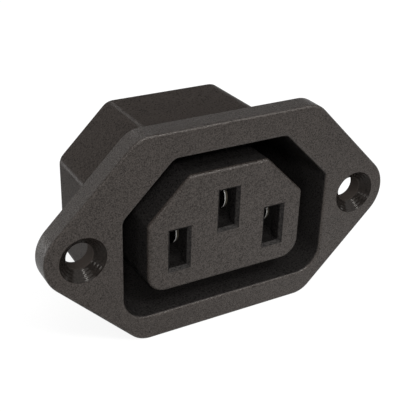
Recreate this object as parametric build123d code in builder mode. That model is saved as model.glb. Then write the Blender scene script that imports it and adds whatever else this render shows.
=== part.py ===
from build123d import *
from math import sqrt
import os

# Screw-mounted mains outlet for a panel.
# Origin: midway between the two fixing holes, on the flange's back face, which seats on the panel.
# +X runs along the flange, +Y goes into the panel and +Z is up. The plug enters from -Y.
# Lengths are in millimetres, angles in degrees.

# Flange: a six-sided plate whose 45 degree sides run tangent to a round tip about each hole
hole_pitch = 40.0
flange_height = 28.4
flange_thickness = 3.0
flange_tip_radius = 4.85
flange_corner_radius = 3.5
flange_edge_fillet = 0.35

# Fixing holes for countersunk screws
screw_hole_diameter = 3.5
countersink_diameter = 6.0
countersink_angle = 90.0

# Recess that takes the plug's shroud, measured in the flange's front plane
recess_width = 29.6
recess_height = 21.3
recess_corner_cut = 6.8
recess_top_radius = 1.6
recess_bottom_radius = 3.4
recess_depth = 17.6
mouth_fillet = 0.4
draft = 1.0

# Shroud wall round the recess, and the wall that closes it behind
shroud_wall = 0.95
shroud_corner_radius = 2.4
shroud_back_fillet = 0.4
back_wall = 2.0

# Nose in the middle of the recess, measured at its face
nose_width = 22.7
nose_height = 15.6
nose_corner_cut = 5.7
nose_top_radius = 0.9
nose_bottom_radius = 2.6
nose_setback = 0.35
nose_face_fillet = 0.5
nose_draft = 0.5
nose_front_wall = 1.65

# Contact places: the earth contact stands midway between the line contacts and above them
contact_pitch = 7.0
line_contact_z = -2.13
earth_rise = 4.07

# Slots in the nose for the plug's pins
slot_width = 2.4
slot_height = 5.3
slot_lead_in = 0.44

# Contacts: sheet folded double into the terminal tab, then opened into two sprung leaves
sheet = 0.42
fold_press = 0.02
bend_radius = 0.45
leaf_width = 4.0
leaf_spread = 3.8
leaf_grip_gap = 1.6
line_mouth_gap = 2.6
earth_mouth_gap = 1.8
leaf_flare = 2.6
leaf_root_length = 3.5
leaf_root_height = 5.3
line_tip_depth = 3.55
earth_tip_depth = 2.6
contact_clearance = 0.12

# Terminal tabs
tab_width = 6.3
tab_length = 8.0
tab_end_cut = 1.0
tab_hole_diameter = 1.65
tab_hole_inset = 4.0

# Rear cover, pressed into the back of the nose
cover_ledge = 1.15
cover_corner_cut = 3.5
cover_corner_radius = 0.6
cover_thickness = 2.0
cover_clearance = 0.08
cover_slot_lead_in = 0.35
catch_radius = 0.35
catch_length = 5.0

# Places along Y that everything is set out from
front_y = -flange_thickness
nose_face_y = front_y + nose_setback
recess_floor_y = front_y + recess_depth
back_y = recess_floor_y + back_wall
cover_seat_y = back_y - cover_thickness
tab_end_y = back_y + tab_length

# Sizes that follow from the ones above
tip_corner_x = hole_pitch / 2 + flange_tip_radius * sqrt(2)
flange_top_half = tip_corner_x - flange_height / 2
tab_slot_width = 2 * (sheet - fold_press + contact_clearance)
tab_slot_height = tab_width + 2 * contact_clearance
cavity_width = leaf_spread + 2 * contact_clearance
cavity_height = leaf_root_height + 2 * contact_clearance
earth_contact_z = line_contact_z + earth_rise
cover_width = 2 * contact_pitch + cavity_width + 2 * cover_ledge
cover_height = earth_rise + tab_width + 2 * cover_ledge
cover_z = (line_contact_z + earth_contact_z) / 2
contact_places = [
    (-contact_pitch, line_contact_z),
    (0, earth_contact_z),
    (contact_pitch, line_contact_z),
]


def keyed_outline(y, width, height, corner_cut, top_radius, bottom_radius, z=0):
    """Rounded rectangle at y, facing +Y, with its two top corners cut at 45 degrees."""
    with BuildSketch(Plane.back.offset(y)) as outline:
        with Locations((0, z)):
            Rectangle(width, height)
        chamfer(outline.vertices().group_by(Axis.Y)[-1], corner_cut)
        rows = outline.vertices().group_by(Axis.Y)
        fillet(rows[-1] + rows[-2], top_radius)
        fillet(outline.vertices().group_by(Axis.Y)[0], bottom_radius)
    return outline.sketch


def cover_outline(y, clearance=0):
    """Outline of the rear cover at y, or with a clearance that of its pocket."""
    return keyed_outline(
        y,
        cover_width + 2 * clearance,
        cover_height + 2 * clearance,
        cover_corner_cut,
        cover_corner_radius,
        cover_corner_radius,
        z=cover_z,
    )


def catch_outline(clearance=0):
    """Round ridges on the cover's two short sides, or with a clearance their grooves."""
    with BuildSketch(Plane.XY.offset(cover_z)) as catches:
        with Locations((0, cover_seat_y + cover_thickness / 2)):
            with GridLocations(cover_width, 1, 2, 1):
                Circle(catch_radius + clearance)
    return catches.sketch


def slots_at(y, width, height):
    """One rectangle for each contact at y, facing +Y."""
    with BuildSketch(Plane.back.offset(y)) as slots:
        with Locations(contact_places):
            Rectangle(width, height)
    return slots.sketch


# Housing: flange, shroud and nose, moulded in one
with BuildPart() as housing:
    with BuildSketch(Plane.back.offset(front_y)) as flange_outline:
        Polygon(
            (tip_corner_x, 0),
            (flange_top_half, flange_height / 2),
            (-flange_top_half, flange_height / 2),
            (-tip_corner_x, 0),
            (-flange_top_half, -flange_height / 2),
            (flange_top_half, -flange_height / 2),
        )
        corners = flange_outline.vertices().group_by(Axis.Y)
        fillet(corners[0] + corners[-1], flange_corner_radius)
        tips = flange_outline.vertices().group_by(SortBy.DISTANCE)[-1]
        fillet(tips, flange_tip_radius)
    extrude(amount=flange_thickness)
    fillet(housing.faces().sort_by(Axis.Y)[0].edges(), flange_edge_fillet)

    # Shroud, as deep as the recess and its back wall
    shroud = keyed_outline(
        front_y,
        recess_width + 2 * shroud_wall,
        recess_height + 2 * shroud_wall,
        recess_corner_cut + shroud_wall * (2 - sqrt(2)),
        shroud_corner_radius,
        shroud_corner_radius,
    )
    extrude(shroud, amount=recess_depth + back_wall, taper=draft)
    fillet(housing.faces().sort_by(Axis.Y)[-1].edges(), shroud_back_fillet)

    # Recess, with its mouth rounded
    recess = keyed_outline(
        front_y, recess_width, recess_height, recess_corner_cut, recess_top_radius, recess_bottom_radius
    )
    extrude(recess, amount=recess_depth, taper=draft, mode=Mode.SUBTRACT)
    fillet(housing.faces().sort_by(Axis.Y)[0].inner_wires()[0].edges(), mouth_fillet)

    # Nose, with its face rounded
    nose = keyed_outline(
        nose_face_y, nose_width, nose_height, nose_corner_cut, nose_top_radius, nose_bottom_radius
    )
    extrude(nose, amount=recess_floor_y - nose_face_y, taper=-nose_draft)
    fillet(housing.faces().filter_by(Plane.XZ).group_by(Axis.Y)[1].edges(), nose_face_fillet)

    # Fixing holes
    with Locations(Plane.front.offset(flange_thickness)):
        with GridLocations(hole_pitch, 1, 2, 1):
            CounterSinkHole(
                radius=screw_hole_diameter / 2,
                counter_sink_radius=countersink_diameter / 2,
                depth=flange_thickness,
                counter_sink_angle=countersink_angle,
            )

    # Slots with a lead-in, then a cavity for each contact and a pocket for the rear cover
    extrude(slots_at(nose_face_y, slot_width, slot_height), amount=nose_front_wall, mode=Mode.SUBTRACT)
    nose_face = housing.faces().filter_by(Plane.XZ).group_by(Axis.Y)[1][0]
    chamfer(nose_face.inner_wires().edges(), slot_lead_in)
    cavity_y = nose_face_y + nose_front_wall
    cavities = slots_at(cavity_y, cavity_width, cavity_height)
    extrude(cavities, amount=cover_seat_y - cavity_y, mode=Mode.SUBTRACT)
    extrude(cover_outline(cover_seat_y, cover_clearance), amount=cover_thickness, mode=Mode.SUBTRACT)
    extrude(catch_outline(cover_clearance), amount=catch_length / 2, both=True, mode=Mode.SUBTRACT)

# Rear cover: closes the cavities and holds the contacts by their roots
with BuildPart() as rear_cover:
    extrude(cover_outline(cover_seat_y), amount=cover_thickness)
    extrude(catch_outline(), amount=catch_length / 2, both=True)
    tab_slots = slots_at(cover_seat_y, tab_slot_width, tab_slot_height)
    extrude(tab_slots, amount=cover_thickness, mode=Mode.SUBTRACT)
    chamfer(rear_cover.faces().sort_by(Axis.Y)[0].inner_wires().edges(), cover_slot_lead_in)


def sprung_contact(x, z, tip_depth, mouth_gap):
    """Twin-leaf contact at x, z, with its tips tip_depth behind the nose's face and mouth_gap apart."""
    tip_y = nose_face_y + tip_depth
    grip_y = tip_y + leaf_flare
    root_y = cover_seat_y - leaf_root_length
    fold_x = sheet / 2 - fold_press
    fold_y = cover_seat_y - sheet / 2
    with BuildPart() as contact:
        # Plan of the folded sheet: one leaf and its half of the tab, mirrored to the other side
        with BuildSketch(Plane((x, 0, z))):
            with BuildLine() as leaf:
                FilletPolyline(
                    (fold_x, tab_end_y),
                    (fold_x, fold_y),
                    ((leaf_spread - sheet) / 2, fold_y),
                    ((leaf_spread - sheet) / 2, root_y),
                    ((leaf_grip_gap + sheet) / 2, grip_y),
                    ((mouth_gap + sheet) / 2, tip_y),
                    radius=bend_radius,
                )
            trace(leaf.line, line_width=sheet)
        extrude(amount=tab_width, both=True)
        mirror(about=Plane.YZ.offset(x))

        # Side outline: tab, root and leaves with round tips
        with BuildSketch(Plane((x, 0, z), x_dir=(0, 1, 0), z_dir=(1, 0, 0))) as side:
            with Locations(((cover_seat_y + tab_end_y) / 2, 0)):
                Rectangle(tab_end_y - cover_seat_y, tab_width)
            chamfer(side.vertices().group_by(Axis.X)[-1], tab_end_cut)
            with Locations((root_y, 0)):
                Rectangle(leaf_root_length, leaf_root_height, align=(Align.MIN, Align.CENTER))
            with Locations(((tip_y + leaf_width / 2 + cover_seat_y) / 2, 0)):
                Rectangle(cover_seat_y - tip_y - leaf_width / 2, leaf_width)
            with Locations((tip_y + leaf_width / 2, 0)):
                Circle(leaf_width / 2)
            with Locations((tab_end_y - tab_hole_inset, 0)):
                Circle(tab_hole_diameter / 2, mode=Mode.SUBTRACT)
        extrude(amount=leaf_spread, both=True, mode=Mode.INTERSECT)
    return contact.part


pieces = {
    "housing": housing.part,
    "rear_cover": rear_cover.part,
    "left_line_contact": sprung_contact(-contact_pitch, line_contact_z, line_tip_depth, line_mouth_gap),
    "earth_contact": sprung_contact(0, earth_contact_z, earth_tip_depth, earth_mouth_gap),
    "right_line_contact": sprung_contact(contact_pitch, line_contact_z, line_tip_depth, line_mouth_gap),
}

os.makedirs("parts", exist_ok=True)
for name, piece in pieces.items():
    piece.label = name
    export_step(piece, f"parts/{name}.step")
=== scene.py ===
import logging
from abc import ABC, abstractmethod
from collections.abc import Mapping
from dataclasses import dataclass, field
from enum import Enum
from functools import reduce
from math import cos, pi, radians, sin, sqrt
from operator import or_
from typing import Any, Union

import bmesh
import bpy
from mathutils import Matrix, Vector


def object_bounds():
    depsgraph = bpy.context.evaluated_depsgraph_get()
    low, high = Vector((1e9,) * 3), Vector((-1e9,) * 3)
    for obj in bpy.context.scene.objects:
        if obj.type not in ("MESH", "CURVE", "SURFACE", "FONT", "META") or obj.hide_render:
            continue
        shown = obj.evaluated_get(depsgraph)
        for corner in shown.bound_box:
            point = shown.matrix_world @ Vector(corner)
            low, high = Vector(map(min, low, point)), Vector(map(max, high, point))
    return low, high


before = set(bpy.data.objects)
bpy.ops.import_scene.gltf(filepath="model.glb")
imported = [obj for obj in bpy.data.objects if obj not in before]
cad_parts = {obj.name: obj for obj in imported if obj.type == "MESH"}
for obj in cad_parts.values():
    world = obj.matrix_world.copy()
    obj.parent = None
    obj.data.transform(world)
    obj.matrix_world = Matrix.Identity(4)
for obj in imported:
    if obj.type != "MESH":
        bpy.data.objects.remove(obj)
cad_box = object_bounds()

# Dresses the panel power socket: finishes for its moulding, cover and contacts, and the studio.
# Sizes named in millimetres are the same as the solids' own; Blender's unit is the metre.

log = logging.getLogger("socket")
MILLIMETRE = 0.001
Rgb = tuple[float, float, float]
Number = Union["Wire", float]


class Op(Enum):
    """The Math node's operations that the finishes use."""

    ADD = "ADD"
    SUBTRACT = "SUBTRACT"
    MULTIPLY = "MULTIPLY"
    DIVIDE = "DIVIDE"
    MAXIMUM = "MAXIMUM"
    MINIMUM = "MINIMUM"
    ABSOLUTE = "ABSOLUTE"
    SINE = "SINE"
    SQUARE_ROOT = "SQRT"


class Wire:
    """A number on its way through a shader, on which Python's operators add Math nodes."""

    def __init__(self, shader: "Shader", socket: bpy.types.NodeSocket) -> None:
        """Wraps an output.

        Args:
            shader: the shader that the number runs through
            socket: the output that it comes from
        """
        self.shader = shader
        self.socket = socket

    def __add__(self, other: Number) -> "Wire":
        """This plus other."""
        return self.shader.math(Op.ADD, self, other)

    def __radd__(self, other: float) -> "Wire":
        """Other plus this."""
        return self.shader.math(Op.ADD, other, self)

    def __sub__(self, other: Number) -> "Wire":
        """This less other."""
        return self.shader.math(Op.SUBTRACT, self, other)

    def __rsub__(self, other: float) -> "Wire":
        """Other less this."""
        return self.shader.math(Op.SUBTRACT, other, self)

    def __mul__(self, other: Number) -> "Wire":
        """This times other."""
        return self.shader.math(Op.MULTIPLY, self, other)

    def __rmul__(self, other: float) -> "Wire":
        """Other times this."""
        return self.shader.math(Op.MULTIPLY, other, self)

    def __truediv__(self, other: Number) -> "Wire":
        """This divided by other."""
        return self.shader.math(Op.DIVIDE, self, other)

    def __abs__(self) -> "Wire":
        """This without its sign."""
        return self.shader.math(Op.ABSOLUTE, self)

    def __or__(self, other: Number) -> "Wire":
        """The larger of this and other, so that two masks are joined."""
        return self.shader.math(Op.MAXIMUM, self, other)

    def __and__(self, other: Number) -> "Wire":
        """The smaller of this and other, so that two masks are crossed."""
        return self.shader.math(Op.MINIMUM, self, other)

    def sine(self) -> "Wire":
        """The sine of this, taken as radians."""
        return self.shader.math(Op.SINE, self)

    def root(self) -> "Wire":
        """The square root of this."""
        return self.shader.math(Op.SQUARE_ROOT, self)

    def above(self, low: float, high: float) -> "Wire":
        """A mask that rises smoothly from 0 to 1.

        Args:
            low: the value up to which the mask is 0
            high: the value from which the mask is 1

        Returns:
            The mask.
        """
        ramp = self.shader.add(
            "MapRange",
            {"interpolation_type": "SMOOTHSTEP"},
            {"Value": self, "From Min": low, "From Max": high},
        )
        return Wire(self.shader, ramp.outputs["Result"])

    def below(self, low: float, high: float) -> "Wire":
        """A mask that falls smoothly from 1 at low to 0 at high."""
        return 1 - self.above(low, high)


class Shader:
    """A node tree that is being filled in."""

    def __init__(self, tree: bpy.types.NodeTree) -> None:
        """Starts from an empty tree.

        Args:
            tree: the tree of a material or of the world
        """
        self.tree = tree
        tree.nodes.clear()

    def add(
        self,
        kind: str,
        settings: Mapping[str, Any] | None = None,
        sockets: Mapping[str | int, Any] | None = None,
    ) -> bpy.types.Node:
        """Adds one node.

        Args:
            kind: the node's type, without the words that all shader nodes start with
            settings: the node's own settings, which are set first
            sockets: the values or links of its inputs, by name or number

        Returns:
            The node.
        """
        node = self.tree.nodes.new("ShaderNode" + kind)
        for name, value in (settings or {}).items():
            setattr(node, name, value)
        for name, value in (sockets or {}).items():
            if isinstance(value, Wire):
                self.tree.links.new(value.socket, node.inputs[name])
            elif isinstance(value, bpy.types.NodeSocket):
                self.tree.links.new(value, node.inputs[name])
            else:
                node.inputs[name].default_value = value
        return node

    def math(self, op: Op, *values: Number) -> Wire:
        """Adds one Math node.

        Args:
            op: what it does
            values: its one or two values

        Returns:
            Its result.
        """
        node = self.add("Math", {"operation": op.value}, dict(enumerate(values)))
        return Wire(self, node.outputs[0])

    def stretched(self, place: bpy.types.NodeSocket, factors: Rgb) -> bpy.types.NodeSocket:
        """Scales a place along its three axes.

        Args:
            place: the place, as a vector
            factors: one factor for each axis

        Returns:
            The scaled vector.
        """
        node = self.add("VectorMath", {"operation": "MULTIPLY"}, {0: place, 1: factors})
        return node.outputs["Vector"]

    def noise(self, place: bpy.types.NodeSocket, size: float, detail: float = 2.0) -> Wire:
        """Adds a noise about a middle value of 0.

        Args:
            place: where it is read, as a vector
            size: how large its patches are, in the vector's own unit
            detail: how many finer layers it has

        Returns:
            The noise, nearly all of it between -0.5 and 0.5.
        """
        node = self.add("TexNoise", {}, {"Vector": place, "Scale": 1 / size, "Detail": detail})
        return Wire(self, node.outputs["Fac"]) - 0.5

    def blend(self, factor: Number, first: Any, second: Any) -> bpy.types.NodeSocket:
        """Mixes two colours.

        Args:
            factor: how much of the second one there is, from 0 to 1
            first: a colour or a colour's output
            second: a colour or a colour's output

        Returns:
            The mixed colour.
        """
        factor_input, first_input, second_input, colour_output = 0, 6, 7, 2
        ends = [
            value if isinstance(value, bpy.types.NodeSocket) else (*value, 1.0)
            for value in (first, second)
        ]
        node = self.add(
            "Mix",
            {"data_type": "RGBA"},
            {factor_input: factor, first_input: ends[0], second_input: ends[1]},
        )
        return node.outputs[colour_output]

    def shaded(self, colour: Any, amount: Wire) -> bpy.types.NodeSocket:
        """A colour made lighter or darker from place to place.

        Args:
            colour: the colour itself, or a colour's output
            amount: 0 for no change, and 0.1 for a tenth lighter

        Returns:
            The changed colour.
        """
        node = self.add("VectorMath", {"operation": "SCALE"}, {0: colour, "Scale": 1 + amount})
        return node.outputs["Vector"]

    def bump(self, height: Wire) -> bpy.types.NodeSocket:
        """Turns a relief in millimetres into a normal."""
        node = self.add("Bump", {}, {"Strength": 1.0, "Distance": MILLIMETRE, "Height": height})
        return node.outputs["Normal"]


@dataclass(frozen=True)
class Place:
    """Where a shader is, in the part's own frame, in millimetres."""

    vector: bpy.types.NodeSocket
    x: Wire
    y: Wire
    z: Wire

    @classmethod
    def of(cls, shader: Shader) -> "Place":
        """Reads the place from the object's own coordinates."""
        metres = shader.add("TexCoord").outputs["Object"]
        vector = shader.stretched(metres, (1 / MILLIMETRE,) * 3)
        axes = shader.add("SeparateXYZ", {}, {"Vector": vector})
        return cls(vector, *(Wire(shader, output) for output in axes.outputs))


@dataclass(frozen=True)
class Finish(ABC):
    """A surface's finish.

    Attributes:
        name: the material's name
        slot: the record's material slot that it stands for; not used
    """

    name: str
    slot: str

    @abstractmethod
    def surface(self, shader: Shader) -> bpy.types.Node:
        """Builds the finish and returns the node with its shader."""

    def material(self) -> bpy.types.Material:
        """Makes the material with this finish."""
        material = bpy.data.materials.new(self.name)
        material.use_nodes = True
        shader = Shader(material.node_tree)
        surface = self.surface(shader).outputs[0]
        shader.add("OutputMaterial", {}, {"Surface": surface})
        return material

    def put_on(self, piece: bpy.types.Object) -> None:
        """Gives a piece this finish all over.

        Args:
            piece: a node of the frame
        """
        material = self.material()
        for place in piece.material_slots:
            place.material = material
        if not piece.material_slots:
            piece.data.materials.append(material)


@dataclass(frozen=True)
class KeyedOutline:
    """A rectangle with its top corners cut at 45 degrees and its bottom corners round.

    Lengths are in millimetres.
    """

    width: float
    height: float
    corner_cut: float
    bottom_radius: float

    def outside(self, place: Place) -> Wire:
        """How far a place is outside the outline, negative inside it."""
        half_width = self.width / 2
        half_height = self.height / 2
        across = abs(place.x) - half_width
        upright = abs(place.z) - half_height
        slanting = (abs(place.x) + place.z - (half_width + half_height - self.corner_cut)) / sqrt(2)
        past_side = (across + self.bottom_radius) | 0.0
        past_bottom = (0.0 - place.z - (half_height - self.bottom_radius)) | 0.0
        rounded = (past_side * past_side + past_bottom * past_bottom).root() - self.bottom_radius
        return across | upright | slanting | rounded


@dataclass(frozen=True)
class Slot:
    """The mouth of a slot for a pin, with its lead-in, in millimetres."""

    x: float
    z: float
    width: float
    height: float

    def outside(self, place: Place) -> Wire:
        """How far a place is outside the slot's mouth, negative inside it."""
        across = abs(place.x - self.x) - self.width / 2
        upright = abs(place.z - self.z) - self.height / 2
        return across | upright


@dataclass(frozen=True)
class MouldedPlastic(Finish):
    """Black plastic, spark-grained on the faces that show and smooth in the recesses and behind.

    Attributes:
        recess: outline of the recess, which is smooth inside
        nose: outline of the nose, whose face is grained
        slots: mouths of the slots in the nose
        lead_in: width of the lead-in round them
        grain_colour: colour where it is grained
        smooth_colour: colour of the shroud and the flange's back, which are smooth
        recess_shade_colour: colour in the recess, which is smooth too, darkened as painted shade
            for the shade that falls inside it
        slot_shade_colour: painted shade on the slots' walls behind their lead-ins, nearly black for
            the shade inside them
        turned_colour: colour of the countersinks
        sheen: tint of what it reflects
        grain_gloss: how strongly the grain's hills reflect
        smooth_gloss: how strongly the smooth faces and the grain's hollows reflect
        skin_gloss: how far the smooth faces reflect as the grain's hills do, from 0 to 1
        skin_matt: how matt the shroud and the flange's back are, from 0 to 1
        grain_roughness: roughness where it is grained
        smooth_roughness: roughness where it is smooth
        bore_colour: colour of the holes behind the countersinks
        bore_roughness: roughness of what still reflects in those holes
        bore_matt: how matt those holes are, from 0 to 1
        turned_roughness: roughness in the countersinks
        turned_gloss: how far the countersinks reflect as the grain's hills do, from 0 to 1
        bore_radius: radius of the holes behind the countersinks
        grain_relief: height of the grain, in millimetres
        grain_size: width of its hills, in millimetres
        grain_detail: how many finer layers it has
        hill_share: share of the grain that reflects as hills do
        hill_contrast: how sharply that share follows the grain
        patch_size: width of the patches in the grain's tone and roughness
        patch_tone: how much lighter or darker those patches are
        patch_roughness: how much rougher or smoother they are
        cloud_size: width of the faint clouds in the plastic's tone
        grain_clouds: how much lighter or darker they are where it is grained
        smooth_clouds: how much lighter or darker they are where it is smooth
        skin_size: width of the faint hills on the smooth faces
        skin_relief: height of those hills
        skin_roughness: how much rougher or smoother they are
        skin_contrast: how sharply the smooth faces' gloss follows them
        drawn_size: width of the faint lines along Y, the way out of the mould
        drawn_squeeze: how much their noise is squeezed along Y, which draws them out
        drawn_relief: height of those lines
        drawn_tone: how much lighter or darker they are
        fleck: how much lighter the hills of the grain and the skin are than their hollows
        hole_pitch: distance between the two fixing holes
        countersink_radius: radius of the countersinks at the flange's face
        ring_pitch: distance between the turned rings in the countersinks
        ring_relief: height of those rings
        nose_side_y: where the nose's rounded edge ends and its smooth side starts
        seat_y: where the flange's grained rim ends, at its back
        seat_blur: width over which the finish changes there
        mouth_blur: the same at the recess's mouth and at the nose's rounded edge
        nose_blur: the same at the nose's outline
        slot_blur: half of that width at the slots' mouths
        lead_in_blur: that width behind the lead-ins
        grain_blur: the same where the grain ends round a countersink
        turned_blur: the same where the turned rings start
        bore_blur: the same at the holes behind the countersinks
        inner_from: how far outside the recess's outline its painted shade is still full
        inner_to: how far outside it that painted shade ends
    """

    recess: KeyedOutline
    nose: KeyedOutline
    slots: tuple[Slot, ...]
    lead_in: float
    grain_colour: Rgb = (0.0245, 0.0204, 0.0180)
    smooth_colour: Rgb = (0.0265, 0.0220, 0.0194)
    # Painted shade: the recess's darker colour stands in for the shade inside it.
    recess_shade_colour: Rgb = (0.0125, 0.0117, 0.0114)
    # Painted shade: the slots' nearly black walls stand in for the shade inside them.
    slot_shade_colour: Rgb = (0.0065, 0.0061, 0.0060)
    turned_colour: Rgb = (0.0096, 0.0080, 0.0070)
    sheen: Rgb = (1.0, 0.95, 0.905)
    grain_gloss: float = 0.47
    smooth_gloss: float = 0.04
    skin_gloss: float = 0.07
    skin_matt: float = 0.3
    grain_roughness: float = 0.3
    smooth_roughness: float = 0.3
    bore_colour: Rgb = (0.042, 0.035, 0.031)
    bore_roughness: float = 0.6
    bore_matt: float = 0.8
    turned_roughness: float = 0.12
    turned_gloss: float = 0.13
    bore_radius: float = 1.75
    grain_relief: float = 0.07
    grain_size: float = 0.16
    grain_detail: float = 3.0
    hill_share: float = 0.75
    hill_contrast: float = 2.3
    patch_size: float = 0.9
    patch_tone: float = 0.4
    patch_roughness: float = 0.12
    cloud_size: float = 6.0
    grain_clouds: float = 0.2
    smooth_clouds: float = 0.25
    skin_size: float = 0.22
    skin_relief: float = 0.008
    skin_roughness: float = 0.2
    skin_contrast: float = 0.4
    drawn_size: float = 0.35
    drawn_squeeze: float = 0.06
    drawn_relief: float = 0.0008
    drawn_tone: float = 0.1
    fleck: float = 2.6
    hole_pitch: float = 40.0
    countersink_radius: float = 3.0
    ring_pitch: float = 0.31
    ring_relief: float = 0.007
    nose_side_y: float = -2.25
    seat_y: float = -0.05
    seat_blur: float = 0.04
    mouth_blur: float = 0.15
    nose_blur: float = 0.1
    slot_blur: float = 0.03
    lead_in_blur: float = 0.08
    grain_blur: float = 0.08
    turned_blur: float = 0.05
    bore_blur: float = 0.1
    inner_from: float = 0.1
    inner_to: float = 0.5

    def from_hole(self, place: Place) -> Wire:
        """How far a place is from the nearer fixing hole's axis."""
        across = abs(place.x) - self.hole_pitch / 2
        return (across * across + place.z * place.z).root()

    def grained(self, place: Place) -> Wire:
        """Mask of the grained faces: the flange's front and rim, and the nose's face."""
        edge = self.countersink_radius
        flange = place.y.below(self.seat_y, self.seat_y + self.seat_blur)
        flange = flange & self.recess.outside(place).above(0.0, self.mouth_blur)
        flange = flange & self.from_hole(place).above(edge, edge + self.grain_blur)
        face = place.y.below(self.nose_side_y, self.nose_side_y + self.mouth_blur)
        face = face & self.nose.outside(place).below(0.0, self.nose_blur)
        for slot in self.slots:
            face = face & slot.outside(place).above(-self.slot_blur, self.slot_blur)
        return flange | face

    def in_slots(self, place: Place) -> Wire:
        """Mask of the slots' walls behind their lead-ins, where their painted shade goes."""
        edge = -self.lead_in
        walls = (slot.outside(place).below(edge, edge + self.lead_in_blur) for slot in self.slots)
        return reduce(or_, walls)

    def surface(self, shader: Shader) -> bpy.types.Node:
        """Builds the plastic and returns the node with its shader."""
        place = Place.of(shader)
        edge = self.countersink_radius
        hole = self.from_hole(place)
        grained = self.grained(place)
        turned = hole.below(edge, edge + self.turned_blur)
        turned = turned & place.y.below(self.seat_y, self.seat_y + self.seat_blur)
        bored = turned & hole.below(self.bore_radius, self.bore_radius + self.bore_blur)
        # Mask of the recess, where the painted shade goes.
        inner = self.recess.outside(place).below(self.inner_from, self.inner_to)
        rest = 1 - (grained | turned)

        grain = shader.noise(place.vector, self.grain_size, self.grain_detail)
        patches = shader.noise(place.vector, self.patch_size)
        clouds = shader.noise(place.vector, self.cloud_size)
        skin = shader.noise(place.vector, self.skin_size)
        along = shader.stretched(place.vector, (1.0, self.drawn_squeeze, 1.0))
        drawn = shader.noise(along, self.drawn_size)
        rings = (place.y * (2 * pi / self.ring_pitch)).sine()
        normal = shader.bump(
            grain * grained * self.grain_relief
            + rings * turned * self.ring_relief
            + (skin * self.skin_relief + drawn * self.drawn_relief) * rest
        )

        grain_shade = grain * self.fleck + patches * self.patch_tone + clouds * self.grain_clouds
        grain_tone = shader.shaded(self.grain_colour, grain_shade)
        # Painted shade: the recess gets a darker colour for the shade that falls inside it.
        smooth_tone = shader.blend(inner, self.smooth_colour, self.recess_shade_colour)
        # Painted shade: the slots' walls behind their lead-ins are nearly black for the shade
        # inside them.
        smooth_tone = shader.blend(self.in_slots(place), smooth_tone, self.slot_shade_colour)
        smooth_tone = shader.blend(turned, smooth_tone, self.turned_colour)
        smooth_shade = skin * self.fleck + clouds * self.smooth_clouds + drawn * self.drawn_tone
        smooth_tone = shader.shaded(smooth_tone, smooth_shade)
        grain_rough = (self.grain_roughness + patches * self.patch_roughness) * (1 - turned)
        smooth_rough = (self.smooth_roughness + skin * self.skin_roughness) * (1 - turned)
        turned_rough = (turned - bored) * self.turned_roughness + bored * self.bore_roughness
        grain_side = shader.add(
            "BsdfPrincipled",
            {},
            {
                "Base Color": shader.blend(turned, grain_tone, self.turned_colour),
                "Roughness": grain_rough + turned_rough,
                "Specular IOR Level": self.grain_gloss,
                "Specular Tint": (*self.sheen, 1.0),
                "Normal": normal,
            },
        )
        smooth_side = shader.add(
            "BsdfPrincipled",
            {},
            {
                "Base Color": shader.blend(grained, smooth_tone, grain_tone),
                "Roughness": smooth_rough + turned_rough,
                "Specular IOR Level": self.smooth_gloss,
                "Specular Tint": (*self.sheen, 1.0),
                "Normal": normal,
            },
        )
        hills = (
            grained * (self.hill_share + grain * self.hill_contrast)
            + rest * (self.skin_gloss + skin * self.skin_contrast)
            + (turned - bored) * self.turned_gloss
        )
        moulded = shader.add(
            "MixShader", {}, {0: hills, 1: smooth_side.outputs[0], 2: grain_side.outputs[0]}
        )
        matt_tone = shader.blend(bored, smooth_tone, self.bore_colour)
        matt = shader.add(
            "BsdfPrincipled",
            {},
            {"Base Color": matt_tone, "Roughness": 1.0, "Specular IOR Level": 0.0},
        )
        matt_share = bored * self.bore_matt + rest * (1 - inner) * self.skin_matt
        return shader.add(
            "MixShader", {}, {0: matt_share, 1: moulded.outputs[0], 2: matt.outputs[0]}
        )


@dataclass(frozen=True)
class SmoothPlastic(Finish):
    """Plain black plastic from a smooth mould, with faint flow clouds.

    Attributes:
        colour: its colour
        roughness: its roughness
        gloss: how strongly it reflects
        cloud_size: width of the clouds, in millimetres
        cloud_tone: how much lighter or darker they are
        cloud_roughness: how much rougher or smoother they are
        skin_size: width of the faint hills on its faces, in millimetres
        skin_tone: how much lighter those hills are
        skin_roughness: how much rougher they are
        skin_relief: their height, in millimetres
    """

    colour: Rgb = (0.022, 0.0205, 0.0195)
    roughness: float = 0.4
    gloss: float = 0.4
    cloud_size: float = 4.0
    cloud_tone: float = 0.3
    cloud_roughness: float = 0.16
    skin_size: float = 0.3
    skin_tone: float = 0.2
    skin_roughness: float = 0.06
    skin_relief: float = 0.003

    def surface(self, shader: Shader) -> bpy.types.Node:
        """Builds the plastic and returns the node with its shader."""
        place = Place.of(shader)
        clouds = shader.noise(place.vector, self.cloud_size)
        skin = shader.noise(place.vector, self.skin_size)
        shade = clouds * self.cloud_tone + skin * self.skin_tone
        rough = clouds * self.cloud_roughness + skin * self.skin_roughness + self.roughness
        return shader.add(
            "BsdfPrincipled",
            {},
            {
                "Base Color": shader.shaded(self.colour, shade),
                "Roughness": rough,
                "Specular IOR Level": self.gloss,
                "Normal": shader.bump(skin * self.skin_relief),
            },
        )


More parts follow.
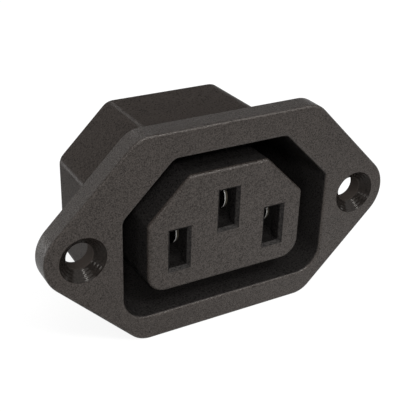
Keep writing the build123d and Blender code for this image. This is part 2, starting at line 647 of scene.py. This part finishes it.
@dataclass(frozen=True)
class TinnedSheet(Finish):
    """Brass sheet with a bright tin plating, marked along the way it was rolled.

    Attributes:
        middle: where the contact's middle plane is, along X, in millimetres
        burnished_to: how far from that plane the sheared edges are bright
        bright: colour of the clean tin
        dull: colour where the tin has dulled
        roughness: its roughness
        cut_roughness: roughness of the sheared edges
        cut_metal: how much the sheared edges still reflect as metal does
        torn: colour of the sheared edges outside that bright band
        torn_blur: width over which that band ends, in millimetres
        cut_facing: the normal's share along X up to which a face counts as a sheared edge
        flat_facing: the share from which it counts as the sheet's own face
        rolled_size: width of the marks of rolling, in millimetres
        rolled_squeeze: how much their noise is squeezed along Y, which draws them out
        rolled_roughness: how much rougher or smoother they are
        bloom_size: width of the dulled patches, in millimetres
        bloom_detail: how many finer layers those patches have
        bloom_roughness: how much rougher the dulled patches are
        clean_to: the patches' noise up to which the tin is clean
        dull_from: the noise from which it is dull
        relief: height of the marks and patches, in millimetres
    """

    middle: float
    burnished_to: float
    bright: Rgb = (0.88, 0.87, 0.84)
    dull: Rgb = (0.66, 0.64, 0.60)
    roughness: float = 0.16
    cut_roughness: float = 0.5
    cut_metal: float = 0.5
    torn: Rgb = (0.10, 0.09, 0.07)
    torn_blur: float = 0.05
    cut_facing: float = 0.25
    flat_facing: float = 0.5
    rolled_size: float = 0.12
    rolled_squeeze: float = 0.05
    rolled_roughness: float = 0.08
    bloom_size: float = 1.6
    bloom_detail: float = 4.0
    bloom_roughness: float = 0.1
    clean_to: float = -0.1
    dull_from: float = 0.35
    relief: float = 0.001

    def surface(self, shader: Shader) -> bpy.types.Node:
        """Builds the metal and returns the node with its shader."""
        place = Place.of(shader)
        along = shader.stretched(place.vector, (1.0, self.rolled_squeeze, 1.0))
        rolled = shader.noise(along, self.rolled_size)
        bloom = shader.noise(place.vector, self.bloom_size, self.bloom_detail)
        facing = shader.add("SeparateXYZ", {}, {0: shader.add("TexCoord").outputs["Normal"]})
        cut = abs(Wire(shader, facing.outputs["X"])).below(self.cut_facing, self.flat_facing)
        band = self.burnished_to
        torn = cut & abs(place.x - self.middle).above(band, band + self.torn_blur)
        tin = shader.blend(bloom.above(self.clean_to, self.dull_from), self.bright, self.dull)
        rough = bloom * self.bloom_roughness + rolled * self.rolled_roughness
        rough = rough + cut * (self.cut_roughness - self.roughness) + self.roughness
        return shader.add(
            "BsdfPrincipled",
            {},
            {
                "Base Color": shader.blend(torn, tin, self.torn),
                "Metallic": 1 - cut * (1 - self.cut_metal),
                "Roughness": rough,
                "Normal": shader.bump(rolled * self.relief + bloom * self.relief),
            },
        )


@dataclass
class Housing:
    """The one moulding: the flange with its fixing holes, the shroud behind it and the nose.

    Sizes are in millimetres.
    """

    node: str = "housing"
    recess: KeyedOutline = KeyedOutline(29.6, 21.3, 6.8, 3.4)
    nose: KeyedOutline = KeyedOutline(22.7, 15.6, 5.7, 2.6)
    contact_pitch: float = 7.0
    line_slot_z: float = -2.13
    earth_slot_z: float = 1.94
    slot_width: float = 2.4
    slot_height: float = 5.3
    slot_lead_in: float = 0.44

    def slots(self) -> tuple[Slot, ...]:
        """The mouths of the three slots."""
        width = self.slot_width + 2 * self.slot_lead_in
        height = self.slot_height + 2 * self.slot_lead_in
        places = (
            (-self.contact_pitch, self.line_slot_z),
            (0.0, self.earth_slot_z),
            (self.contact_pitch, self.line_slot_z),
        )
        return tuple(Slot(x, z, width, height) for x, z in places)

    def build(self) -> None:
        """Dresses the solid in its moulded plastic."""
        finish = MouldedPlastic(
            "moulded_plastic",
            "housing_plastic",
            self.recess,
            self.nose,
            self.slots(),
            self.slot_lead_in,
        )
        finish.put_on(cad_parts[self.node])
        log.info("%s: grained flange and nose, smooth recess and shroud", self.node)


@dataclass
class RearCover:
    """The plate that closes the contact cavities from behind."""

    node: str = "rear_cover"

    def build(self) -> None:
        """Dresses the solid in smooth plastic."""
        SmoothPlastic("cover_plastic", "cover_plastic").put_on(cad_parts[self.node])
        log.info("%s: smooth plastic", self.node)


@dataclass
class Contacts:
    """The three sprung contacts with their terminal tabs.

    Attributes:
        pitch: distance between neighbouring contacts
        line_mouth_gap: distance between the line contacts' leaf tips
        earth_mouth_gap: distance between the earth contact's leaf tips
        burnished_width: width of the bright band on the leaves' sheared edges
    """

    pitch: float = 7.0
    line_mouth_gap: float = 2.6
    earth_mouth_gap: float = 1.8
    burnished_width: float = 0.10

    def build(self) -> None:
        """Dresses the solids in tinned metal."""
        for node, middle, mouth_gap in (
            ("left_line_contact", -self.pitch, self.line_mouth_gap),
            ("earth_contact", 0.0, self.earth_mouth_gap),
            ("right_line_contact", self.pitch, self.line_mouth_gap),
        ):
            burnished_to = mouth_gap / 2 + self.burnished_width
            finish = TinnedSheet("tinned_" + node, "contact_metal", middle, burnished_to)
            finish.put_on(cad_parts[node])
            log.info("%s: tinned sheet", node)


@dataclass(frozen=True)
class Lamp:
    """A soft studio lamp, far enough off to light everything alike.

    Attributes:
        name: its name
        azimuth: where it stands, in degrees from the front (-Y) towards +X
        elevation: how high it stands, in degrees
        spread: how wide it looks from the part, in degrees
        level: its strength
        mirrored: whether glossy surfaces mirror it
    """

    name: str
    azimuth: float
    elevation: float
    spread: float
    level: float
    mirrored: bool = True

    def build(self) -> None:
        """Adds the lamp to the scene."""
        data = bpy.data.lights.new(self.name, "SUN")
        data.energy = self.level
        data.angle = radians(self.spread)
        lamp = bpy.data.objects.new(self.name, data)
        azimuth = radians(self.azimuth)
        elevation = radians(self.elevation)
        towards = Vector(
            (sin(azimuth) * cos(elevation), -cos(azimuth) * cos(elevation), sin(elevation))
        )
        lamp.location = towards
        lamp.visible_glossy = self.mirrored
        lamp.rotation_euler = towards.to_track_quat("Z", "Y").to_euler()
        bpy.context.scene.collection.objects.link(lamp)
        log.info("%s: azimuth %.0f, elevation %.0f", self.name, self.azimuth, self.elevation)


@dataclass(frozen=True)
class Window:
    """A bright patch of the room that only glossy surfaces mirror.

    Attributes:
        towards: its direction from the part
        width: how wide it looks, in degrees, without its soft rim
        level: how bright it looks
    """

    towards: tuple[float, float, float]
    width: float
    level: float

    def seen_along(self, shader: Shader, direction: bpy.types.NodeSocket) -> Wire:
        """How bright the window makes a direction.

        Args:
            shader: the world's shader
            direction: the direction, as a unit vector

        Returns:
            The brightness, 0 outside the window.
        """
        middle = tuple(Vector(self.towards).normalized())
        dot = shader.add("VectorMath", {"operation": "DOT_PRODUCT"}, {0: direction, 1: middle})
        soft_rim = self.width / 3
        rim = cos(radians(self.width / 2 + soft_rim))
        core = cos(radians(self.width / 2))
        return Wire(shader, dot.outputs["Value"]).above(rim, core) * self.level


@dataclass(frozen=True)
class Pool:
    """A brighter pool on the floor that only glossy surfaces mirror.

    Attributes:
        middle: its middle, in metres
        radius: its radius, in metres
        gain: how much brighter it is in the middle than the floor round it
    """

    middle: tuple[float, float, float]
    radius: float
    gain: float

    def seen_at(self, shader: Shader, spot: bpy.types.NodeSocket) -> Wire:
        """How much the pool adds to the floor's brightness.

        Args:
            shader: the floor's shader
            spot: the place on the floor, as a vector

        Returns:
            The added brightness, 0 outside the pool.
        """
        away = shader.add("VectorMath", {"operation": "DISTANCE"}, {0: spot, 1: self.middle})
        return Wire(shader, away.outputs["Value"]).below(0.0, self.radius) * self.gain


@dataclass
class Studio:
    """A pale floor under the part, a pale room with a dark ceiling, and soft lamps.

    Attributes:
        floor_radius: radius of the floor, in metres
        floor_sides: how many sides its outline has
        floor_colour: the floor as the part and its light see it
        floor_glow: what the floor shows the camera even in shadow
        gloss_glow: what it shows glossy surfaces even in shadow
        glow_share: how much of that glow its own colour gives up
        gloss_floor: brightness of the floor in a mirror, as a share of its own
        pools: the brighter pools on it
        room_level: strength of the room's light on matt surfaces
        ceiling_level: how bright the ceiling looks in a mirror
        wall_top: how high the white wall starts to darken, in degrees
        ceiling_edge: how high it has become the dark ceiling, in degrees
        front_rise: how much higher the white wall is in front than behind
        windows: the bright patches round the part
        lamps: the lamps
    """

    floor_radius: float = 2.0
    floor_sides: int = 96
    floor_colour: float = 0.78
    floor_glow: float = 0.84
    gloss_glow: float = 0.5
    glow_share: float = 0.7
    gloss_floor: float = 0.5
    pools: tuple[Pool, ...] = (
        Pool((0.021, -0.021, 0.0), 0.055, 0.5),
        Pool((-0.029, 0.019, 0.0), 0.034, 0.3),
        Pool((-0.078, 0.096, 0.0), 0.048, 9.0),
        Pool((-0.050, 0.070, 0.0), 0.030, 1.0),
    )
    room_level: float = 0.35
    ceiling_level: float = 0.14
    wall_top: float = 1.0
    ceiling_edge: float = 13.0
    front_rise: float = 0.45
    windows: tuple[Window, ...] = (
        Window((-0.60, 0.55, 0.57), 60.0, 0.82),
        Window((0.46, -0.33, 0.82), 46.0, 2.6),
        Window((0.14, 0.86, 0.49), 6.0, 8.0),
        Window((-0.69, -0.69, 0.22), 7.0, 11.0),
        Window((0.99, -0.09, 0.10), 6.0, 5.0),
    )
    lamps: tuple[Lamp, ...] = field(
        default_factory=lambda: (
            Lamp("ceiling_lamp", -10.0, 64.0, 40.0, 1.1),
            Lamp("upper_lamp", 11.0, 51.0, 9.0, 0.9),
            Lamp("fill_lamp", -25.0, 32.0, 9.0, 1.6, mirrored=False),
            Lamp("left_lamp", -45.0, 13.0, 14.0, 0.6, mirrored=False),
            Lamp("right_lamp", 85.0, 6.0, 14.0, 0.6, mirrored=False),
        )
    )

    def seen(self, shader: Shader) -> tuple[Wire, Wire]:
        """Masks of the rays that see the background: the camera's, and those of gloss and glass."""
        rays = shader.add("LightPath").outputs
        kinds = ("Is Camera Ray", "Is Glossy Ray", "Is Transmission Ray")
        camera, gloss, glass = (Wire(shader, rays[kind]) for kind in kinds)
        return camera, gloss | glass

    def floor(self) -> None:
        """Builds the floor on which the flange's lower edge stands."""
        mesh = bpy.data.meshes.new("floor")
        shape = bmesh.new()
        bmesh.ops.create_circle(
            shape, cap_ends=True, segments=self.floor_sides, radius=self.floor_radius
        )
        shape.to_mesh(mesh)
        shape.free()
        floor = bpy.data.objects.new("floor", mesh)
        floor.location = (0, 0, cad_box[0].z)
        bpy.context.scene.collection.objects.link(floor)
        material = bpy.data.materials.new("floor")
        material.use_nodes = True
        shader = Shader(material.node_tree)
        camera, gloss = self.seen(shader)
        spot = shader.add("TexCoord").outputs["Object"]
        mirrored = sum((pool.seen_at(shader, spot) for pool in self.pools), self.gloss_floor)
        bright = 1 + gloss * (mirrored - 1)
        glow = camera * self.floor_glow + gloss * self.gloss_glow
        white = shader.add("Emission", {}, {"Strength": glow * bright})
        own = (self.floor_colour - glow * self.glow_share) * bright
        plain = shader.add("BsdfDiffuse", {}, {"Color": own})
        both = shader.add("AddShader", {}, {0: white.outputs[0], 1: plain.outputs[0]})
        shader.add("OutputMaterial", {}, {"Surface": both.outputs[0]})
        mesh.materials.append(material)

    def room(self) -> None:
        """Sets the world: even light on matt surfaces, white walls and a dark ceiling in gloss."""
        world = bpy.data.worlds.new("room")
        world.use_nodes = True
        shader = Shader(world.node_tree)
        direction = shader.add("TexCoord").outputs["Generated"]
        axes = shader.add("SeparateXYZ", {}, {0: direction}).outputs
        front = (0.0 - Wire(shader, axes["Y"])) | 0.0
        height = Wire(shader, axes["Z"]) - front * self.front_rise
        wall = height.below(sin(radians(self.wall_top)), sin(radians(self.ceiling_edge)))
        level = wall | self.ceiling_level
        for window in self.windows:
            level = level | window.seen_along(shader, direction)
        camera, gloss = self.seen(shader)
        level = level | camera
        light = shader.add("Background", {}, {"Color": (1, 1, 1, 1), "Strength": self.room_level})
        view = shader.add("Background", {}, {"Color": (1, 1, 1, 1), "Strength": level})
        either = shader.add(
            "MixShader", {}, {0: camera | gloss, 1: light.outputs[0], 2: view.outputs[0]}
        )
        shader.add("OutputWorld", {}, {"Surface": either.outputs[0]})
        bpy.context.scene.world = world

    def build(self) -> None:
        """Builds the floor, the room and the lamps."""
        self.floor()
        self.room()
        for lamp in self.lamps:
            lamp.build()
        bpy.context.scene.view_settings.view_transform = "Standard"
        log.info("studio: floor, room and %d lamps", len(self.lamps))


@dataclass
class PhotoCamera:
    """The camera where the photograph was taken from.

    Attributes:
        place: where it stands, in metres
        yaw: its heading, in degrees from +Y towards +X
        pitch: how far it looks down, in degrees
        roll: how far it is turned clockwise about its line of sight, in degrees
        focal_pixels: its focal length in pixels of the photograph
        photo_width: the photograph's width in pixels
        sensor: width of its sensor, in millimetres
        nearest: the nearest distance that it shows, in metres
        farthest: the farthest distance that it shows, in metres
    """

    place: tuple[float, float, float] = (-0.050755, -0.082903, 0.053003)
    yaw: float = 30.532
    pitch: float = 28.115
    roll: float = 2.043
    focal_pixels: float = 849.47
    photo_width: float = 412.0
    sensor: float = 36.0
    nearest: float = 0.002
    farthest: float = 10.0

    def axes(self) -> tuple[Vector, Vector, Vector]:
        """The camera's right, up and forward."""
        yaw, pitch, roll = (radians(angle) for angle in (self.yaw, self.pitch, self.roll))
        forward = Vector((sin(yaw) * cos(pitch), cos(yaw) * cos(pitch), -sin(pitch)))
        level_right = Vector((cos(yaw), -sin(yaw), 0))
        level_up = level_right.cross(forward)
        right = level_right * cos(roll) + level_up * sin(roll)
        up = level_up * cos(roll) - level_right * sin(roll)
        return right, up, forward

    def build(self) -> None:
        """Adds the camera and makes it the scene's own."""
        data = bpy.data.cameras.new("camera")
        data.sensor_width = self.sensor
        data.lens = self.focal_pixels * self.sensor / self.photo_width
        data.clip_start = self.nearest
        data.clip_end = self.farthest
        camera = bpy.data.objects.new("camera", data)
        right, up, forward = self.axes()
        turn = Matrix((right, up, -forward)).transposed().to_4x4()
        camera.matrix_world = Matrix.Translation(self.place) @ turn
        bpy.context.scene.collection.objects.link(camera)
        bpy.context.scene.camera = camera
        log.info("camera: lens %.1f mm", data.lens)


def main() -> None:
    """Builds the studio, dresses each sub-assembly and sets the camera."""
    logging.basicConfig(level=logging.INFO, format="%(message)s")
    for part in (Housing(), RearCover(), Contacts(), Studio(), PhotoCamera()):
        part.build()


if __name__ == "__main__":
    main()
